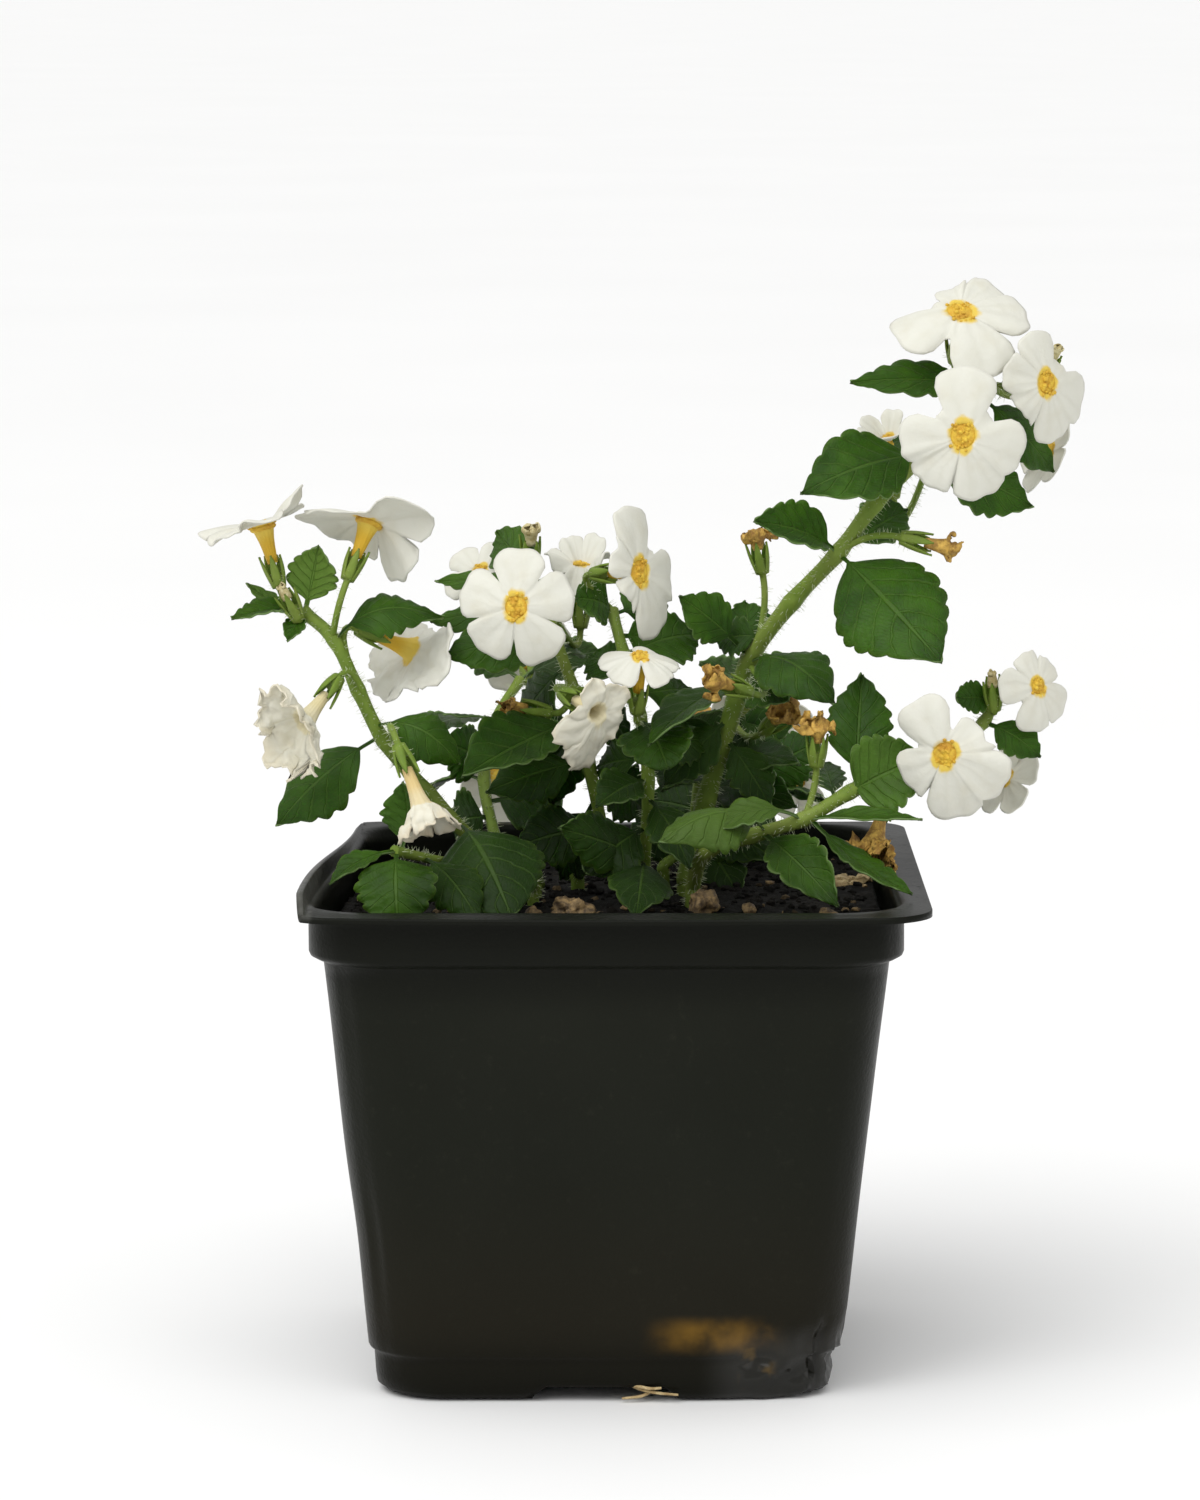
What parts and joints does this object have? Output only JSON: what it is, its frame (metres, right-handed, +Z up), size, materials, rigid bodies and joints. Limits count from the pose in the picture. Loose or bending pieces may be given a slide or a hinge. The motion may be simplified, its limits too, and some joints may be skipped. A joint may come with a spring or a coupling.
{
  "type": "potted bacopa plant",
  "caption": "Sprawling bedding plant with small white five-lobed flowers and toothed leaves, rooted in soil in a square black nursery pot.",
  "frame": {"origin": "middle of the pot's underside, on the surface that it stands on", "axes": "+Z up along the pot, +X to the right seen from the front, +Y from the front to the back, -Z out of the pot's base"},
  "size_m": [0.1602, 0.1375, 0.1982],
  "materials": {
    "pot": "semi-matte black",
    "soil": "damp potting mix",
    "leaf": "soft, slightly glossy leaf green",
    "petal": "soft warm white",
    "dry": "dry and papery",
    "bark": "rough"
  },
  "bodies": {
    "root": {"pot": "pot", "soil": "soil", "bit_left": "bark", "bit_left_small": "bark", "bit_right": "bark", "bit_right_small": "bark", "bit_corner": "bark", "bit_back": "bark", "shoot_left": "leaf", "shoot_front_left": "leaf", "shoot_centre_left": "leaf", "shoot_centre": "leaf", "shoot_right_tall": "leaf", "shoot_right_low": "leaf", "shoot_mid_right": "leaf", "shoot_back_left": "leaf", "shoot_back_right": "leaf", "bloom_left_top": "petal", "bloom_left_second": "petal", "wilted_left_hanging": "petal", "wilted_left_low": "petal", "wilted_front": "petal", "bloom_centre_front": "petal", "bloom_centre_back": "petal", "bloom_crown": "petal", "bloom_centre_tall": "petal", "bloom_centre_small": "petal", "wilted_centre": "petal", "bloom_top": "petal", "bloom_top_front": "petal", "bloom_top_right": "petal", "bloom_top_behind": "petal", "bloom_top_left_behind": "petal", "bloom_right_front": "petal", "bloom_right_end": "petal", "bloom_right_behind": "petal", "bloom_back_left": "petal", "bloom_back_left_low": "petal", "bloom_back_right": "petal", "bloom_back_right_low": "petal", "dried_left_top": "dry", "dried_crown": "dry", "dried_centre_left": "dry", "dried_tall_left": "dry", "dried_tall_right": "dry", "dried_tall_low": "dry", "bud_top": "dry", "dried_right_node": "dry", "dried_rim": "dry", "bud_right": "dry", "dried_mid_right": "dry", "dried_back": "dry"}
  },
  "joints": []
}
